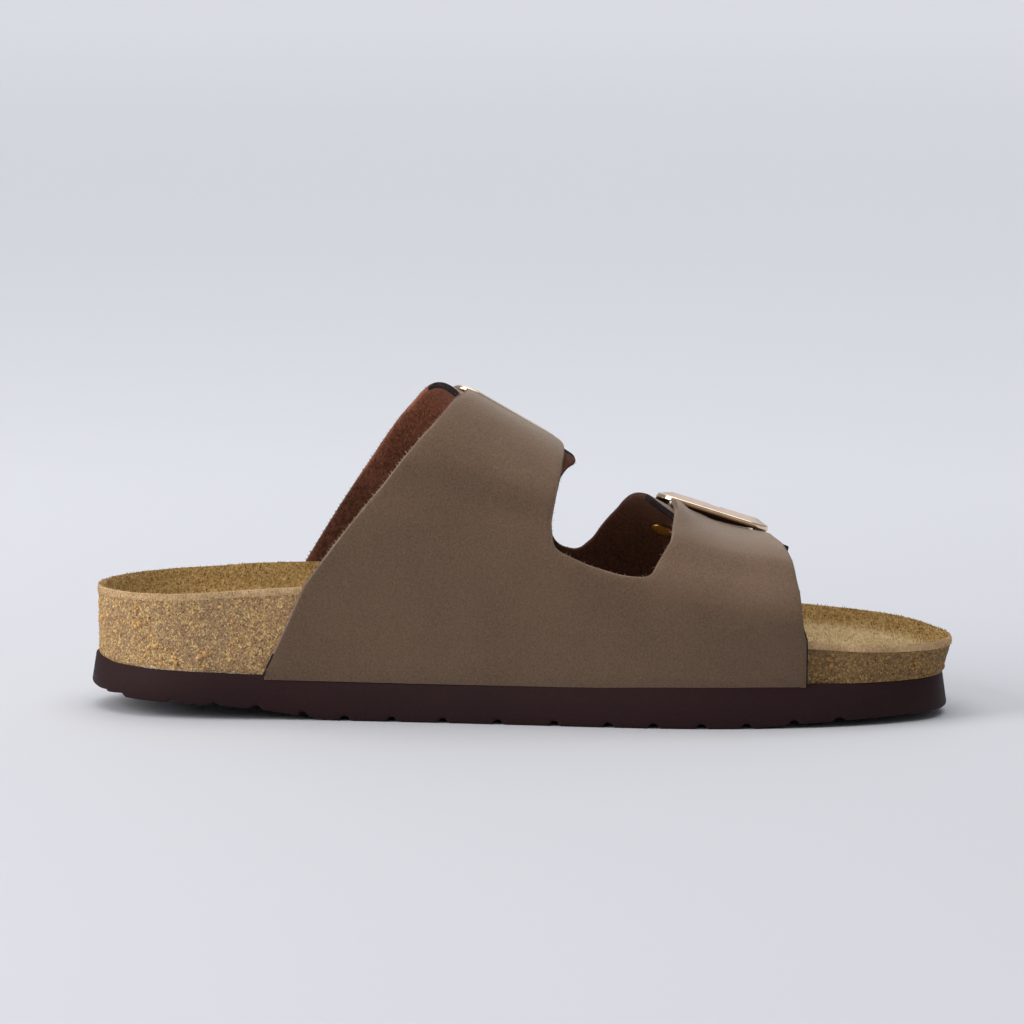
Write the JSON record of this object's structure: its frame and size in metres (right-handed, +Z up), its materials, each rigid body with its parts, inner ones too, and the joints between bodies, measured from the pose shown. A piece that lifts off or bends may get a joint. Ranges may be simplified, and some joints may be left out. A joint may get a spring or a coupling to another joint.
{
  "type": "slide sandal",
  "caption": "Left slide sandal with a shaped cork footbed, a grooved flat sole and wide leather straps closed by large pronged frame buckles.",
  "frame": {"origin": "middle of the bounding box, on the floor the sole stands on", "axes": "+X from the heel to the toe, +Y to the outer side of the foot, +Z up"},
  "size_m": [0.264, 0.0948, 0.0999],
  "materials": {
    "sole_rubber": "dark brown foamed rubber, matte",
    "cork": "pressed cork granules, sealed matte",
    "suede": "golden brown suede, napped",
    "nubuck": "taupe nubuck outside, dark red-brown suede inside",
    "rose_gold": "rose gold plate, satin face and polished edges",
    "brass": "polished brass"
  },
  "bodies": {
    "root": {"outsole": "sole_rubber", "footbed": "cork", "insole_liner": "suede", "upper": "nubuck", "buckle_instep": "rose_gold", "prong_instep": "rose_gold", "rivet_instep_rear": "brass", "rivet_instep_front": "brass", "buckle_toe": "rose_gold", "prong_toe": "rose_gold", "rivet_toe_rear": "brass", "rivet_toe_front": "brass"}
  },
  "joints": []
}
